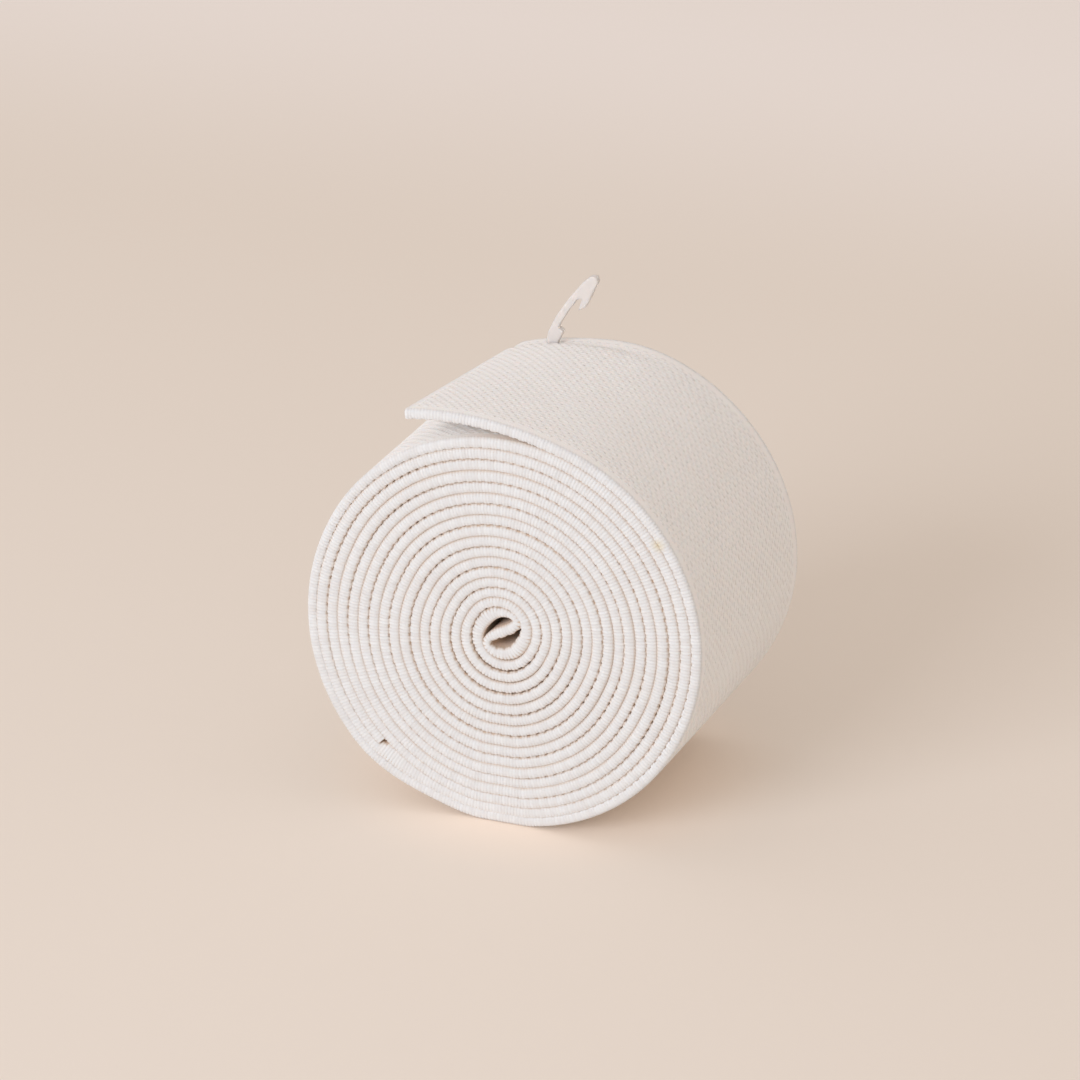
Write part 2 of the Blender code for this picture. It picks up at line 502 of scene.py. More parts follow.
@dataclass(frozen=True)
class WovenElastic:
    """Woven elastic: rubber cores bound in undyed polyester yarn, soft, matt and a little hairy.

    The fine yarns scatter light in every direction, so the eye sees a chalky off-white with warm hollows,
    whose shade is painted into the colour.
    """

    name: str
    yarn: str = "#F2F1EF"
    yarn_dark: str = "#EBE8E5"
    # Painted shade: the warm brown laid on where one turn lies over another and down the loops' sides
    hollow: str = "#DAC4AF"
    stain: str = "#E6D3A6"
    stain_place_mm: tuple[float, float, float] = (17.4, -15.0, 34.8)
    stain_reach_mm: float = 1.1
    stain_strength: float = 0.6
    shade_from: float = 0.3
    shade_to: float = 1.4
    roughness: float = 0.9
    sheen: float = 0.2
    sheen_roughness: float = 0.5
    scatter: float = 0.35
    scatter_mm: float = 0.4
    scatter_by_colour: tuple[float, float, float] = (1.0, 0.75, 0.62)
    fibre_mm: float = 0.12
    cloud_mm: float = 7.0
    bump: float = 0.3

    def yarn_colour(self, tree: bpy.types.NodeTree, place: bpy.types.NodeSocket) -> bpy.types.NodeSocket:
        """Vary the yarn's colour: clouds, a random tone for each yarn, painted warm shade in the hollows and
        one faint yellow stain.

        Args:
            tree: The material's tree.
            place: The point's place on the object.

        Returns:
            The colour.
        """
        cloud = add_node(tree, "ShaderNodeTexNoise", {
            "Vector": place, "Scale": 1.0 / (self.cloud_mm * MM), "Detail": 3.0})
        shade = add_node(tree, "ShaderNodeAttribute", attribute_name=SHADE)
        # Painted shade: mixed into the yarn by the valley share times the share under another turn
        hollow = add_node(tree, "ShaderNodeAttribute", attribute_name=GAP_SHADE_MASK)
        buried = add_node(tree, "ShaderNodeAttribute", attribute_name=BURIED)
        gap_shade_share = add_node(tree, "ShaderNodeMath", {
            0: hollow.outputs["Fac"], 1: buried.outputs["Fac"]}, operation="MULTIPLY")
        mixed = add_node(tree, "ShaderNodeMath", {
            0: cloud.outputs["Fac"], 1: shade.outputs["Fac"]}, operation="ADD")
        share = add_node(tree, "ShaderNodeMapRange", {
            "Value": mixed.outputs[0], "From Min": self.shade_from, "From Max": self.shade_to})
        yarn = add_node(tree, "ShaderNodeMix", {
            "Factor": share.outputs["Result"], "A": linear(self.yarn), "B": linear(self.yarn_dark)},
            data_type="RGBA")
        deep = add_node(tree, "ShaderNodeMix", {
            "Factor": gap_shade_share.outputs[0], "A": yarn.outputs["Result"], "B": linear(self.hollow)},
            data_type="RGBA")
        middle = tuple(value * MM for value in self.stain_place_mm)
        away = add_node(tree, "ShaderNodeVectorMath", {0: place, 1: middle}, operation="DISTANCE")
        near = add_node(tree, "ShaderNodeMapRange", {
            "Value": away.outputs["Value"], "From Min": self.stain_reach_mm * MM, "From Max": 0.0,
            "To Max": self.stain_strength}, interpolation_type="SMOOTHSTEP")
        stained = add_node(tree, "ShaderNodeMix", {
            "Factor": near.outputs["Result"], "A": deep.outputs["Result"], "B": linear(self.stain)},
            data_type="RGBA")
        return stained.outputs["Result"]

    def material(self) -> bpy.types.Material:
        """Build the material from the yarn's colours and its fibres."""
        material, place = new_material(self.name)
        tree = material.node_tree
        # Real fibres are about 0.02 mm thick, and are drawn six times as coarse so that they show
        fibre = add_node(tree, "ShaderNodeTexNoise", {
            "Vector": place, "Scale": 1.0 / (self.fibre_mm * MM), "Detail": 2.0})
        raised = add_node(tree, "ShaderNodeBump", {
            "Height": fibre.outputs["Fac"], "Strength": self.bump, "Distance": self.fibre_mm * MM})
        shader = add_node(tree, "ShaderNodeBsdfPrincipled", {
            "Base Color": self.yarn_colour(tree, place),
            "Normal": raised.outputs["Normal"],
            "Roughness": self.roughness,
            "Sheen Weight": self.sheen,
            "Sheen Roughness": self.sheen_roughness,
            "Subsurface Weight": self.scatter,
            "Subsurface Radius": self.scatter_by_colour,
            "Subsurface Scale": self.scatter_mm * MM})
        add_node(tree, "ShaderNodeOutputMaterial", {"Surface": shader.outputs["BSDF"]})
        return material


@dataclass(frozen=True)
class MilkyNylon:
    """Injection-moulded natural nylon: cloudy and translucent, with the soft gloss of a moulded skin."""

    name: str = "moulded_natural_nylon"
    colour: str = "#EAE7E4"
    roughness: float = 0.45
    glossier: float = 0.08
    duller: float = 0.1
    ior: float = 1.53
    transmission: float = 0.3
    scatter: float = 0.6
    scatter_mm: float = 0.8
    scatter_by_colour: tuple[float, float, float] = (1.0, 0.9, 0.8)
    cloud_mm: float = 1.2
    bump: float = 0.15
    bump_mm: float = 0.1

    def material(self) -> bpy.types.Material:
        """Build the material, a little cloudier in places as moulded nylon is."""
        material, place = new_material(self.name)
        tree = material.node_tree
        cloud = add_node(tree, "ShaderNodeTexNoise", {
            "Vector": place, "Scale": 1.0 / (self.cloud_mm * MM), "Detail": 2.0})
        rough = add_node(tree, "ShaderNodeMapRange", {
            "Value": cloud.outputs["Fac"],
            "To Min": self.roughness - self.glossier,
            "To Max": self.roughness + self.duller})
        raised = add_node(tree, "ShaderNodeBump", {
            "Height": cloud.outputs["Fac"], "Strength": self.bump, "Distance": self.bump_mm * MM})
        shader = add_node(tree, "ShaderNodeBsdfPrincipled", {
            "Base Color": linear(self.colour),
            "Roughness": rough.outputs["Result"],
            "Normal": raised.outputs["Normal"],
            "IOR": self.ior,
            "Transmission Weight": self.transmission,
            "Subsurface Weight": self.scatter,
            "Subsurface Radius": self.scatter_by_colour,
            "Subsurface Scale": self.scatter_mm * MM})
        add_node(tree, "ShaderNodeOutputMaterial", {"Surface": shader.outputs["BSDF"]})
        return material


@dataclass
class RowOfYarn:
    """Geometry Nodes that set one small shape after another along paths, such as loops or stitches.

    The path is a mesh of bare edges. Its points hold the direction out of the cloth, the direction back along
    the tape, how full the shape stands there, and whether another turn lies over it, where painted shade goes.
    """

    name: str

    def tree(self) -> bpy.types.GeometryNodeTree:
        """Build the node tree."""
        tree = bpy.data.node_groups.new(self.name, "GeometryNodeTree")
        sockets = (
            ("Path", "NodeSocketGeometry"), ("Pitch", "NodeSocketFloat"), ("Full Shape", "NodeSocketObject"),
            ("Short Shape", "NodeSocketObject"), ("Shapes a Unit", "NodeSocketInt"),
            ("Unevenness", "NodeSocketFloat"), ("Seed", "NodeSocketInt"), ("Finish", "NodeSocketMaterial"))
        for name, kind in sockets:
            tree.interface.new_socket(name, in_out="INPUT", socket_type=kind)
        tree.interface.new_socket("Row", in_out="OUTPUT", socket_type="NodeSocketGeometry")
        given = add_node(tree, "NodeGroupInput").outputs
        curve = add_node(tree, "GeometryNodeMeshToCurve", {"Mesh": given["Path"]})
        even = add_node(tree, "GeometryNodeResampleCurve", {
            "Curve": curve.outputs["Curve"], "Length": given["Pitch"]}, mode="LENGTH")
        facing = add_node(tree, "GeometryNodeInputNamedAttribute", {"Name": FACING}, data_type="FLOAT_VECTOR")
        inward = add_node(tree, "GeometryNodeInputNamedAttribute", {"Name": INWARD}, data_type="FLOAT_VECTOR")
        fullness = add_node(tree, "GeometryNodeInputNamedAttribute", {"Name": FULLNESS}, data_type="FLOAT")
        turned = add_node(tree, "FunctionNodeAxesToRotation", {
            "Primary Axis": facing.outputs["Attribute"], "Secondary Axis": inward.outputs["Attribute"]},
            primary_axis="Z", secondary_axis="X")
        low = add_node(tree, "ShaderNodeMath", {0: 1.0, 1: given["Unevenness"]}, operation="SUBTRACT")
        high = add_node(tree, "ShaderNodeMath", {0: 1.0, 1: given["Unevenness"]}, operation="ADD")
        varied = add_node(tree, "FunctionNodeRandomValue", {
            2: low.outputs[0], 3: high.outputs[0], "Seed": given["Seed"]}, data_type="FLOAT")
        size = add_node(tree, "ShaderNodeCombineXYZ", {
            "X": 1.0, "Y": varied.outputs[1], "Z": fullness.outputs["Attribute"]})
        index = add_node(tree, "GeometryNodeInputIndex")
        place = add_node(tree, "ShaderNodeMath", {
            0: index.outputs["Index"], 1: given["Shapes a Unit"]}, operation="MODULO")
        is_short = add_node(tree, "ShaderNodeMath", {0: place.outputs[0], 1: 0.5}, operation="LESS_THAN")
        is_full = add_node(tree, "ShaderNodeMath", {0: 1.0, 1: is_short.outputs[0]}, operation="SUBTRACT")
        joined = add_node(tree, "GeometryNodeJoinGeometry")
        for shape, chosen in (("Full Shape", is_full), ("Short Shape", is_short)):
            template = add_node(tree, "GeometryNodeObjectInfo", {"Object": given[shape]})
            copies = add_node(tree, "GeometryNodeInstanceOnPoints", {
                "Points": even.outputs["Curve"],
                "Selection": chosen.outputs[0],
                "Instance": template.outputs["Geometry"],
                "Rotation": turned.outputs["Rotation"],
                "Scale": size.outputs["Vector"]})
            tree.links.new(copies.outputs["Instances"], joined.inputs["Geometry"])
        tone = add_node(tree, "FunctionNodeRandomValue", {
            2: 0.0, 3: 1.0, "Seed": given["Seed"]}, data_type="FLOAT")
        toned = add_node(tree, "GeometryNodeStoreNamedAttribute", {
            "Geometry": joined.outputs["Geometry"], "Name": SHADE, "Value": tone.outputs[1]},
            data_type="FLOAT", domain="INSTANCE")
        real = add_node(tree, "GeometryNodeRealizeInstances", {"Geometry": toned.outputs["Geometry"]})
        dressed = add_node(tree, "GeometryNodeSetMaterial", {
            "Geometry": real.outputs["Geometry"], "Material": given["Finish"]})
        add_node(tree, "NodeGroupOutput", {"Row": dressed.outputs["Geometry"]})
        return tree

    def lay(self, path: bpy.types.Mesh, values: dict[str, Any]) -> bpy.types.Object:
        """Set the shapes along a path, as one plain mesh.

        Args:
            path: A mesh of bare edges with the attributes that the tree reads. It is used up.
            values: The tree's inputs by name, with templates as objects, which are left in place.

        Returns:
            The finished object.
        """
        piece = new_object(self.name, path)
        tree = self.tree()
        modifier = piece.modifiers.new("Row", "NODES")
        modifier.node_group = tree
        for item in tree.interface.items_tree:
            if item.in_out == "INPUT" and item.name in values:
                modifier[item.identifier] = values[item.name]
        mesh = frozen_mesh(piece, self.name)
        piece.modifiers.remove(modifier)
        piece.data = mesh
        for name in (FACING, INWARD, FULLNESS):
            layer = mesh.attributes.get(name)
            if layer is not None:
                mesh.attributes.remove(layer)
        bpy.data.meshes.remove(path)
        return piece


def path_mesh(name: str, paths: list[dict[str, np.ndarray]]) -> bpy.types.Mesh:
    """Make a mesh of bare edges for a row of yarn.

    Args:
        name: The mesh's name.
        paths: For each path its points in millimetres, and its facing, inward, fullness and buried values.

    Returns:
        The mesh, in metres.
    """
    points = np.concatenate([path["points"] for path in paths]) * MM
    edges = []
    first = 0
    for path in paths:
        count = len(path["points"])
        edges += [(first + step, first + step + 1) for step in range(count - 1)]
        first += count
    mesh = bpy.data.meshes.new(name)
    mesh.from_pydata(points.tolist(), edges, [])
    set_vectors(mesh, FACING, np.concatenate([path["facing"] for path in paths]))
    set_vectors(mesh, INWARD, np.concatenate([path["inward"] for path in paths]))
    set_floats(mesh, FULLNESS, np.concatenate([path["fullness"] for path in paths]))
    set_floats(mesh, BURIED, np.concatenate([path["buried"] for path in paths]))
    return mesh


@dataclass
class WeftLoops:
    """The selvedge's weft yarn: it comes round the tape's edge from face to face, pick after pick.

    The pick is a third of the weave's repeat. Every third loop turns back early on the wrong side, which
    leaves the row of small holes that shows where two wrong sides meet.
    """

    run: TapeRun
    dent: PinDent
    repeat: float = 1.07
    picks_a_repeat: int = 3
    overlap: float = 1.06
    nose: float = 0.40
    boxiness: float = 0.95
    round_angles: tuple[float, ...] = (66.0, 34.0, 0.0, -34.0, -66.0)
    shoulder: float = 0.50
    turned_back: tuple[float, float] = (0.22, 0.80)
    tucked_in: tuple[float, float] = (0.65, 0.62)
    reach: float = 1.05
    rise: float = 0.06
    # Painted shade on a loop's sides starts this far in from its tip and is full at the next
    valley_from: float = 0.06
    valley_at: float = 0.34
    thickness: float = 1.10
    sunk: float = 0.12
    end_gap: float = 0.2
    sharp_angle: float = 75.0
    uneven: float = 0.04

    def profile(self, short: bool) -> list[tuple[float, float]]:
        """Crest line of a loop: distance in from the tip of the edge, and height over the tape's middle.

        Args:
            short: Whether the loop turns back early on the wrong side.

        Returns:
            The points, from the right side round to the wrong side.
        """
        half = self.thickness / 2
        points = [(self.reach, half - self.sunk), (self.shoulder, half)]
        for angle in self.round_angles[:-1] if short else self.round_angles:
            turned = math.radians(angle)
            inset = self.nose * (1.0 - math.cos(turned) ** self.boxiness)
            height = half * math.copysign(abs(math.sin(turned)) ** self.boxiness, angle)
            points.append((inset, height))
        if short:
            points += [(inset, -half * share) for inset, share in (self.turned_back, self.tucked_in)]
        else:
            points += [(self.shoulder, -half), (self.reach, -half + self.sunk)]
        return points

    def template(self, edge: Edge, short: bool) -> bpy.types.Object:
        """Make one loop, a ridge of three-sided section, its tip at the origin.

        Args:
            edge: The selvedge that the loop is for.
            short: Whether the loop turns back early on the wrong side.

        Returns:
            The loop, to be removed once it has been used.
        """
        crest = [Vector((0.0, -edge.value * inset, height)) for inset, height in self.profile(short)]
        aside = Vector((self.repeat / self.picks_a_repeat / 2 * self.overlap, 0.0, 0.0))
        rings = []
        for index, point in enumerate(crest):
            ahead = crest[min(index + 1, len(crest) - 1)] - crest[max(index - 1, 0)]
            inward = Vector((0.0, -ahead.z, ahead.y)).normalized()
            if inward.dot(Vector((0.0, -edge.value, -point.z))) < 0.0:
                inward = -inward
            base = point + inward * self.rise
            rings.append([point, base - aside, base + aside])
        mesh = tube_mesh("weft_loop", rings)
        # Painted shade: the loop darkens from its tip down into the valleys between turns
        insets = np.repeat([-edge.value * point.y for point in crest], len(rings[0]))
        valley_shade_share = np.clip((insets - self.valley_from) / (self.valley_at - self.valley_from), 0.0, 1.0)
        set_floats(mesh, GAP_SHADE_MASK, valley_shade_share)
        mesh.set_sharp_from_angle(angle=math.radians(self.sharp_angle))
        return new_object("weft_loop", mesh)

    def build(self, edge: Edge, finish: bpy.types.Material) -> bpy.types.Object:
        """Make one selvedge.

        Args:
            edge: The selvedge.
            finish: The yarn's material.

        Returns:
            The finished piece.
        """
        run = self.run
        wrong_side = run.half[Face.WRONG_SIDE] - run.notch
        lean = (run.half[Face.RIGHT_SIDE] - wrong_side) / 2
        y = edge.value * run.width / 2
        points, facing = run.surface(y, lean - self.dent.depth(run, y))
        for end, neighbour in ((0, 1), (-1, -2)):
            ahead = points[neighbour] - points[end]
            points[end] += ahead / np.linalg.norm(ahead) * self.end_gap
        inward = -np.gradient(points, axis=0)
        thickness = run.half[Face.RIGHT_SIDE] + wrong_side
        # Painted shade goes on the loops wherever another turn lies over them
        path = {
            "points": points, "facing": facing, "inward": inward,
            "fullness": thickness / self.thickness, "buried": 1.0 - run.uncovered}
        full = self.template(edge, short=False)
        short = self.template(edge, short=True)
        seed = Seed.FRONT_LOOPS if edge is Edge.FRONT else Seed.BACK_LOOPS
        piece = RowOfYarn(f"{edge.name.lower()}_selvedge_loops").lay(path_mesh("selvedge_path", [path]), {
            "Pitch": self.repeat / self.picks_a_repeat * MM,
            "Full Shape": full,
            "Short Shape": short,
            "Shapes a Unit": self.picks_a_repeat,
            "Unevenness": self.uneven,
            "Seed": seed.value,
            "Finish": finish})
        for template in (full, short):
            bpy.data.objects.remove(template)
        return piece


@dataclass
class TapeBody:
    """The tape itself: one closed strip with rounded edges, dented where the pin pulls it down."""

    run: TapeRun
    relief: float = 0.05
    nose: float = 0.40
    boxiness: float = 0.95
    wrong_side_cut: float = 0.93
    cut_reach: float = 1.1
    columns: int = 14
    rim: float = 0.15
    pin_reach: float = 4.0
    pin_step: float = 0.7
    pin_gap: float = 0.3
    edge_steps: tuple[float, ...] = (66.0, 30.0, -30.0, -66.0)

    def inner(self) -> float:
        """Distance from the middle of the tape to its outermost flat column."""
        return self.run.width / 2 - self.nose - self.rim

    def near_edge(self, y: float) -> bool:
        """Whether a place across the tape is close to a selvedge."""
        return self.run.width / 2 - abs(y) < self.cut_reach

    def across(self) -> list[float]:
        """Places of the columns across the tape, closer together by the pin near the back edge."""
        inner = self.inner()
        even = np.linspace(-inner, inner, self.columns)
        by_pin = np.arange(inner - self.pin_reach, inner - self.pin_gap, self.pin_step)
        return sorted(set(np.round(np.concatenate([even, by_pin]), 3)))

    def section(self) -> list[tuple[Face, float, float, float]]:
        """List the points round the tape's section.

        Returns:
            The face that each is on, its place across, the share of the face's half thickness at which it
            lies, and how far under that it is sunk.
        """
        across = self.across()
        points = [(Face.RIGHT_SIDE, y, 1.0, self.relief) for y in across]
        points += self.rounded(Edge.BACK)
        for y in reversed(across):
            share = self.wrong_side_cut if self.near_edge(y) else 1.0
            points.append((Face.WRONG_SIDE, y, share, self.relief))
        points += self.rounded(Edge.FRONT)[::-1]
        return points

    def rounded(self, edge: Edge) -> list[tuple[Face, float, float, float]]:
        """Points round one edge, from the right side to the wrong side."""
        tip = self.run.width / 2 - self.relief
        points = []
        for angle in self.edge_steps:
            turned = math.radians(angle)
            face = Face.RIGHT_SIDE if angle > 0.0 else Face.WRONG_SIDE
            share = abs(math.sin(turned)) ** self.boxiness * (1.0 if angle > 0.0 else self.wrong_side_cut)
            y = edge.value * (tip - self.nose * (1.0 - math.cos(turned) ** self.boxiness))
            points.append((face, y, share, self.relief * abs(math.sin(turned))))
        return points

    def build(self, finish: bpy.types.Material, dent: PinDent) -> bpy.types.Object:
        """Make the strip.

        Args:
            finish: The tape's material.
            dent: How the pin dents the right side.

        Returns:
            The finished piece.
        """
        run = self.run
        section = self.section()
        right_side = run.half[Face.RIGHT_SIDE]
        rows = []
        for face, y, share, sunk in section:
            wrong_side = run.half[Face.WRONG_SIDE] - (run.notch if self.near_edge(y) else 0.0)
            lean = (right_side - wrong_side) / 2
            half = (right_side + wrong_side) / 2
            offset = lean + face.value * (half * share - sunk)
            if face is Face.RIGHT_SIDE or y > self.inner():
                offset = offset - dent.depth(run, y)
            points, _ = run.surface(y, offset)
            rows.append(points)
        grid = np.stack(rows, axis=1)
        stations, around = grid.shape[:2]
        faces = []
        for station in range(stations - 1):
            here = station * around
            ahead = here + around
            for place in range(around):
                other = (place + 1) % around
                faces.append((here + place, here + other, ahead + other, ahead + place))
        faces.append(tuple(range(around))[::-1])
        faces.append(tuple((stations - 1) * around + place for place in range(around)))
        mesh = bpy.data.meshes.new("woven_tape")
        mesh.from_pydata((grid.reshape(-1, 3) * MM).tolist(), [], faces)
        strip = bmesh.new()
        strip.from_mesh(mesh)
        bmesh.ops.recalc_face_normals(strip, faces=strip.faces)
        strip.to_mesh(mesh)
        strip.free()
        mesh.shade_smooth()
        # Painted shade: the strip darkens all over wherever another turn lies over its face
        bare = {Face.RIGHT_SIDE: run.uncovered, Face.WRONG_SIDE: run.loose()}
        buried = np.column_stack([1.0 - bare[face] for face, _, _, _ in section])
        set_floats(mesh, GAP_SHADE_MASK, np.ones(stations * around))
        set_floats(mesh, BURIED, buried)
        mesh.materials.append(finish)
        return new_object("woven_tape", mesh)


@dataclass(frozen=True)
class PinDent:
    """The trough that the pin pulls into the tape, along the back edge to the right of the pin."""

    direction: float = 104.0
    from_front: float = 27.6
    deep: float = 0.80
    past_pin: float = 2.2
    long_half: float = 6.2
    wide_half: float = 1.15
    at_edge: float = 0.75

    def turned(self, winding: Winding) -> float:
        """Degrees that the long strand has turned at the pin."""
        turned = math.floor(winding.long_turned / TURN) * TURN + self.direction - HALF_TURN
        return turned + TURN if turned < winding.long_turned - TURN else turned

    def depth(self, run: TapeRun, y: float) -> np.ndarray:
        """How deep the trough is at one place across the tape, all along it."""
        at_pin = np.interp(self.turned(run.winding), run.long_turned, run.along)
        along = (run.along - at_pin + self.past_pin) / self.long_half
        across = (y + run.width / 2 - self.from_front) / self.wide_half
        share = math.exp(-across * across)
        if across > 0.0:
            share = max(share, self.at_edge)
        return self.deep * share * np.exp(-along * along)


@dataclass
class FaceStitches:
    """The warp floats of the weave, which stand on the tape's face like grains in staggered columns."""

    run: TapeRun
    dent: PinDent
    repeat: float = 1.07
    column_pitch: float = 0.545
    bare_edge: float = 1.25
    long: float = 0.98
    wide: float = 0.53
    high: float = 0.20
    sunk: float = 0.10
    low_share: float = 0.86
    end_clear: float = 0.6
    pin_clear: float = 0.8
    under_pin: float = 0.02
    pitch_share: float = 0.998
    uneven: float = 0.06

    def template(self) -> bpy.types.Object:
        """Make one float, a low rounded grain. It is removed once it has been used."""
        grain = bmesh.new()
        bmesh.ops.create_icosphere(grain, subdivisions=1, radius=MM / 2)
        bmesh.ops.scale(grain, verts=grain.verts, vec=(self.long, self.wide, self.high))
        mesh = bpy.data.meshes.new("warp_float")
        grain.to_mesh(mesh)
        grain.free()
        mesh.shade_smooth()
        return new_object("warp_float", mesh)

    def columns(self) -> list[float]:
        """Places of the columns across the tape."""
        room = self.run.width / 2 - self.bare_edge
        count = int(2 * room / self.column_pitch)
        return [(index - (count - 1) / 2) * self.column_pitch for index in range(count)]

    def paths(self, face: Face, shown: np.ndarray) -> list[dict[str, np.ndarray]]:
        """Lay out a path for each column, every other one half a repeat later and lower.

        Args:
            face: The face that the columns are on.
            shown: The stations that they run over.

        Returns:
            The paths, as path_mesh takes them.
        """
        run = self.run
        out = run.half[face] - self.sunk
        at_pin = np.interp(self.dent.turned(run.winding), run.long_turned, run.along)
        along = run.along[shown]
        whole = int((along[-1] - along[0] - 2.0 * self.end_clear) / self.repeat)
        paths = []
        for index, y in enumerate(self.columns()):
            depth = out - (self.dent.depth(run, y) if face is Face.RIGHT_SIDE else 0.0)
            points, facing = run.surface(y, face.value * depth)
            late = index % 2
            halves = np.arange(2 * (whole - late) + 1) + late
            places = along[0] + self.end_clear + halves * self.repeat / 2
            sampled = np.column_stack([np.interp(places, run.along, axis) for axis in points.T])
            outward = np.column_stack([np.interp(places, run.along, axis) for axis in facing.T])
            fullness = np.full(len(places), self.low_share if late else 1.0)
            if face is Face.RIGHT_SIDE and abs(y + run.width / 2 - self.dent.from_front) < self.pin_clear:
                fullness[np.abs(places - at_pin) < self.pin_clear] = self.under_pin
            paths.append({
                "points": sampled,
                "facing": outward * face.value,
                "inward": -np.gradient(sampled, axis=0),
                "fullness": fullness,
                "buried": np.zeros(len(places))})
        return paths

    def build(self, finish: bpy.types.Material) -> bpy.types.Object:
        """Make the floats of every face that shows.

        Args:
            finish: The yarn's material.

        Returns:
            The finished piece.
        """
        run = self.run
        outside = np.flatnonzero(run.long_turned > run.winding.uncovered_from())
        underside = np.flatnonzero(run.loose())
        paths = self.paths(Face.RIGHT_SIDE, outside) + self.paths(Face.WRONG_SIDE, underside)
        grain = self.template()
        # The pitch is a hair under the repeat, so that no column loses a float and falls out of step
        piece = RowOfYarn("face_stitches").lay(path_mesh("stitch_paths", paths), {
            "Pitch": self.repeat * self.pitch_share * MM,
            "Full Shape": grain,
            "Short Shape": grain,
            "Shapes a Unit": 2,
            "Unevenness": self.uneven,
            "Seed": Seed.STITCHES.value,
            "Finish": finish})
        bpy.data.objects.remove(grain)
        return piece


@dataclass
class CutEnd:
    """The loose end as the scissors left it: rubber cores and yarn ends that stand out of the cut."""

    run: TapeRun
    core_pitch: float = 0.545
    core_long: float = 0.42
    core_half: float = 0.17
    shoulder: float = 0.7
    tip: float = 0.6
    yarn_out: float = 0.09
    rubber_out: float = 0.16
    rubber_stouter: float = 1.3
    from_edge: float = 0.9
    sides: int = 8
    uneven: float = 0.25

    def template(self, reach: float, half: float) -> bpy.types.Object:
        """Make one core's end: a stub with a rounded tip. It is removed once it has been used.

        Args:
            reach: How far it stands out of the cut.
            half: Its radius.

        Returns:
            The stub, which points along -X from inside the tape.
        """
        turns = [math.radians(TURN * side / self.sides) for side in range(self.sides)]
        lengthwise = ((self.core_long - reach, 1.0), (-reach * self.shoulder, 1.0), (-reach, self.tip))
        rings = []
        for along, width in lengthwise:
            radius = half * width
            rings.append([
                Vector((along, radius * math.cos(turn), radius * math.sin(turn))) for turn in turns])
        return new_object("core_end", tube_mesh("core_end", rings))

    def build(self, finish: bpy.types.Material) -> bpy.types.Object:
        """Make the row of ends across the loose end.

        Args:
            finish: The yarn's material.

        Returns:
            The finished piece.
        """
        run = self.run
        inner = run.width / 2 - self.from_edge
        places = np.linspace(-inner, inner, int(2 * inner / self.core_pitch) * 2 + 1)
        ends = [run.surface(y, 0.0) for y in places]
        points = np.array([line[-1] for line, _ in ends])
        back = np.array([line[-2] - line[-1] for line, _ in ends])
        path = {
            "points": points,
            "facing": np.array([facing[-1] for _, facing in ends]),
            "inward": back,
            "fullness": np.ones(len(places)),
            "buried": np.zeros(len(places))}
        rubber = self.template(self.rubber_out, self.core_half * self.rubber_stouter)
        yarn = self.template(self.yarn_out, self.core_half)
        piece = RowOfYarn("cut_end_cores").lay(path_mesh("cut_end_path", [path]), {
            "Pitch": self.core_pitch * MM,
            "Full Shape": yarn,
            "Short Shape": rubber,
            "Shapes a Unit": 2,
            "Unevenness": self.uneven,
            "Seed": Seed.CUT_END.value,
            "Finish": finish})
        for template in (rubber, yarn):
            bpy.data.objects.remove(template)
        return piece


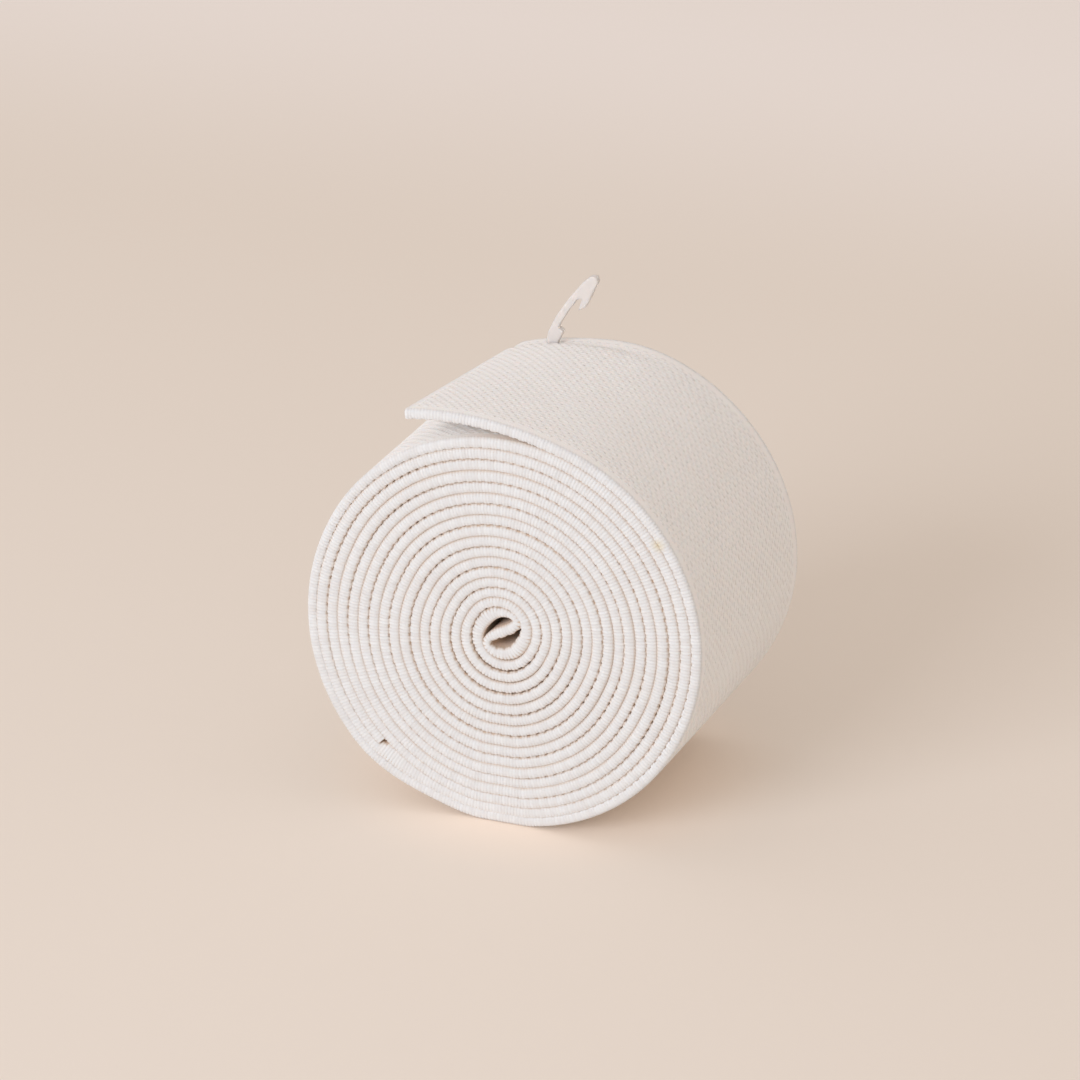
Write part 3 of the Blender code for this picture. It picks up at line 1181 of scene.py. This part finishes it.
@dataclass
class NylonPin:
    """The pin: pushed through the loose end near its back edge, its free end bent over into a hook."""

    run: TapeRun
    dent: PinDent
    thickness: float = 0.9
    depth: float = 0.9
    seated: float = 0.6
    merged: float = 0.001
    voxel: float = 0.07
    smoothing: int = 14
    smoothing_share: float = 0.5

    def outline(self) -> list[tuple[float, float]]:
        """Outline from the tape's outer face, in millimetres: along the tape, and out from it."""
        places = (
            ("shank left", -0.45, -self.depth),
            ("foot left", -0.55, 0.0),
            ("stem left", 0.0, 1.4),
            ("stem bend", 1.45, 3.15),
            ("stem upper", 3.5, 5.0),
            ("crown left", 5.4, 6.45),
            ("crown top", 6.45, 7.0),
            ("crown right", 7.1, 6.85),
            ("crown edge", 7.15, 6.25),
            ("hook outer", 6.35, 5.3),
            ("hook bend", 5.65, 4.35),
            ("hook lower", 4.95, 3.6),
            ("hook tip", 4.1, 3.4),
            ("hook inner", 4.5, 4.1),
            ("notch right", 4.85, 4.6),
            ("notch left", 4.3, 4.65),
            ("stem inner", 2.85, 3.4),
            ("stem low", 1.7, 2.2),
            ("barb top", 1.35, 1.75),
            ("barb", 1.8, 1.2),
            ("foot right", 0.95, 0.25),
            ("shank right", 0.45, -self.depth))
        return [(along, out) for _, along, out in places]

    def place(self) -> Matrix:
        """Matrix of the pin's own frame: X along the tape, Y to the back and Z out of its outer face."""
        wind = self.run.winding
        x, z = wind.point(Strand.LONG, self.dent.turned(wind))
        out = Vector((x, 0.0, z)).normalized()
        y = self.dent.from_front - self.run.width / 2
        sunk = np.interp(self.dent.turned(wind), self.run.long_turned, self.dent.depth(self.run, y))
        foot = Vector((x, y, z + wind.core_height())) + out * (wind.solid_thickness / 2 - self.seated * sunk)
        tilt = Matrix.Rotation(math.radians(QUARTER_TURN - self.dent.direction), 4, "Y")
        return Matrix.Translation(foot * MM) @ tilt

    def build(self, finish: bpy.types.Material) -> bpy.types.Object:
        """Mould the pin: its outline extruded, and then rounded all over.

        Args:
            finish: The nylon.

        Returns:
            The finished piece.
        """
        curve = bpy.data.curves.new("hooked_nylon_pin", "CURVE")
        curve.dimensions = "2D"
        curve.fill_mode = "BOTH"
        curve.extrude = self.thickness / 2
        spline = curve.splines.new("POLY")
        outline = self.outline()
        spline.points.add(len(outline) - 1)
        spline.use_cyclic_u = True
        for point, (along, out) in zip(spline.points, outline):
            point.co = (along, out, 0.0, 1.0)
        flat = bpy.data.objects.new("pin_outline", curve)
        bpy.context.scene.collection.objects.link(flat)
        piece = new_object("hooked_nylon_pin", frozen_mesh(flat, "hooked_nylon_pin"))
        bpy.data.objects.remove(flat)
        whole = bmesh.new()
        whole.from_mesh(piece.data)
        bmesh.ops.remove_doubles(whole, verts=whole.verts, dist=self.merged)
        whole.to_mesh(piece.data)
        whole.free()
        remesh = piece.modifiers.new("Moulded", "REMESH")
        remesh.mode = "VOXEL"
        remesh.voxel_size = self.voxel
        rounded = piece.modifiers.new("Rounded", "SMOOTH")
        rounded.factor = self.smoothing_share
        rounded.iterations = self.smoothing
        mesh = frozen_mesh(piece, "hooked_nylon_pin")
        piece.modifiers.clear()
        piece.data = mesh
        upright = Matrix.Rotation(math.radians(QUARTER_TURN), 4, "X")
        mesh.transform(self.place() @ upright @ Matrix.Scale(MM, 4))
        mesh.shade_smooth()
        mesh.materials.clear()
        mesh.materials.append(finish)
        return piece


@dataclass
class Studio:
    """The pale floor, the soft light and the camera at the photograph's angle."""

    run: TapeRun
    camera_azimuth: float = 21.98
    camera_elevation: float = 22.79
    lens: float = 200.0
    sensor: float = 36.0
    frame_px: float = 1080.0
    px_per_mm: float = 9.537
    face_centre_px: tuple[float, float] = (502.2, 632.3)
    clip: tuple[float, float] = (0.05, 50.0)
    floor_colour: str = "#E8E0D6"
    # Painted light: the floor is painted paler behind the roll in place of more light there
    far_painted_light: str = "#F3EEEA"
    painted_light_from: float = 0.14
    painted_light_full_at: float = 0.25
    # Painted light: a warm glow of bounced light painted round the roll's foot, which lightens its contact
    # shadow
    painted_bounce_colour: str = "#FAEBDC"
    painted_bounce_full_at: float = 0.008
    painted_bounce_until: float = 0.028
    floor_roughness: float = 0.9
    floor_specular: float = 0.2
    floor_half: float = 3.0
    fill_colour: str = "#FFF3EB"
    fill_strength: float = 0.765
    window_colour: str = "#E9EEF9"
    window_towards: tuple[float, float, float] = (-0.36, -1.05, 0.42)
    window_distance: float = 0.9
    window_size: float = 0.5
    window_power: float = 4.9

    def camera(self) -> None:
        """Stand the camera where the photograph was taken from."""
        azimuth = math.radians(self.camera_azimuth)
        elevation = math.radians(self.camera_elevation)
        right = Vector((math.cos(azimuth), math.sin(azimuth), 0.0))
        back = Vector((
            math.sin(azimuth) * math.cos(elevation), -math.cos(azimuth) * math.cos(elevation),
            math.sin(elevation)))
        up = back.cross(right)
        focal_px = self.lens / self.sensor * self.frame_px
        across = self.face_centre_px[0] - self.frame_px / 2
        down = self.face_centre_px[1] - self.frame_px / 2
        to_face = (right * across - up * down - back * focal_px) / self.px_per_mm
        face = Vector((0.0, -self.run.width / 2, self.run.winding.core_height()))
        data = bpy.data.cameras.new("camera")
        data.lens = self.lens
        data.sensor_width = self.sensor
        data.clip_start, data.clip_end = self.clip
        camera = bpy.data.objects.new("camera", data)
        turned = Matrix((right, up, back)).transposed().to_4x4()
        camera.matrix_world = Matrix.Translation((face - to_face) * MM) @ turned
        bpy.context.scene.collection.objects.link(camera)
        bpy.context.scene.camera = camera

    def floor(self) -> None:
        """Lay a pale cloth-coloured floor as the stage, with painted light: paler far behind the roll, and a
        painted warm glow of bounced light round its foot.
        """
        material, place = new_material("pale_floor")
        tree = material.node_tree
        split = add_node(tree, "ShaderNodeSeparateXYZ", {"Vector": place})
        # Painted light: paler towards the back
        far = add_node(tree, "ShaderNodeMapRange", {
            "Value": split.outputs["Y"], "From Min": self.painted_light_from, "From Max": self.painted_light_full_at},
            interpolation_type="SMOOTHSTEP")
        colour = add_node(tree, "ShaderNodeMix", {
            "Factor": far.outputs["Result"], "A": linear(self.floor_colour), "B": linear(self.far_painted_light)},
            data_type="RGBA")
        # Painted light: the warm bounce glow fades out with distance from the roll's foot
        away = add_node(tree, "ShaderNodeVectorMath", {0: place}, operation="LENGTH")
        near = add_node(tree, "ShaderNodeMapRange", {
            "Value": away.outputs["Value"], "From Min": self.painted_bounce_until, "From Max": self.painted_bounce_full_at},
            interpolation_type="SMOOTHSTEP")
        warm = add_node(tree, "ShaderNodeMix", {
            "Factor": near.outputs["Result"], "A": colour.outputs["Result"], "B": linear(self.painted_bounce_colour)},
            data_type="RGBA")
        shader = add_node(tree, "ShaderNodeBsdfPrincipled", {
            "Base Color": warm.outputs["Result"],
            "Roughness": self.floor_roughness,
            "Specular IOR Level": self.floor_specular})
        add_node(tree, "ShaderNodeOutputMaterial", {"Surface": shader.outputs["BSDF"]})
        plane = bmesh.new()
        bmesh.ops.create_grid(plane, x_segments=1, y_segments=1, size=self.floor_half)
        mesh = bpy.data.meshes.new("floor")
        plane.to_mesh(mesh)
        plane.free()
        mesh.materials.append(material)
        new_object("floor", mesh)

    def window(self) -> None:
        """Hang the soft light of a window, to the front and a little to the left."""
        data = bpy.data.lights.new("window", "AREA")
        data.shape = "SQUARE"
        data.size = self.window_size
        data.energy = self.window_power
        data.color = linear(self.window_colour)[:3]
        light = bpy.data.objects.new("window", data)
        towards = Vector(self.window_towards)
        light.location = towards.normalized() * self.window_distance
        light.rotation_euler = towards.to_track_quat("Z", "Y").to_euler()
        bpy.context.scene.collection.objects.link(light)

    def fill(self) -> None:
        """Fill the scene with even light."""
        world = bpy.data.worlds.new("soft_fill")
        world.use_nodes = True
        tree = world.node_tree
        tree.nodes.clear()
        even = add_node(tree, "ShaderNodeBackground", {
            "Color": linear(self.fill_colour), "Strength": self.fill_strength})
        add_node(tree, "ShaderNodeOutputWorld", {"Surface": even.outputs["Background"]})
        bpy.context.scene.world = world

    def build(self) -> None:
        """Set up the camera, the floor and the light."""
        bpy.context.scene.view_settings.view_transform = "Standard"
        self.camera()
        self.floor()
        self.fill()
        self.window()


def declare(piece: bpy.types.Object, slot: str, *nodes: str) -> None:
    """Tell the frame which body a piece rides on and the nodes that it stands for, and log its triangles."""
    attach(piece, BODY)
    if nodes:
        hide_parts(*nodes)
    mesh = piece.data
    mesh.calc_loop_triangles()
    LOG.info("%s: %d triangles", piece.name, len(mesh.loop_triangles))


def main() -> None:
    """Build every piece and report it."""
    logging.basicConfig(level=logging.INFO, format="%(name)s: %(message)s")
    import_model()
    run = TapeRun(Winding())
    LOG.info("tape: %.1f mm long", run.length())
    dent = PinDent()
    Studio(run).build()
    yarn = WovenElastic("woven_polyester_elastic").material()
    tape = TapeBody(run).build(yarn, dent)
    loops = WeftLoops(run, dent)
    selvedges = [loops.build(edge, yarn) for edge in Edge]
    stitches = FaceStitches(run, dent).build(yarn)
    cut_end = CutEnd(run).build(yarn)
    pin = NylonPin(run, dent).build(MilkyNylon().material())
    declare(tape, "woven_elastic", "elastic_tape")
    yarns = selvedges + [stitches, cut_end]
    for piece in yarns:
        declare(piece, "woven_elastic")
    declare(pin, "clear_nylon", "hooked_pin")
    bpy.context.view_layer.update()


if __name__ == "__main__":
    main()
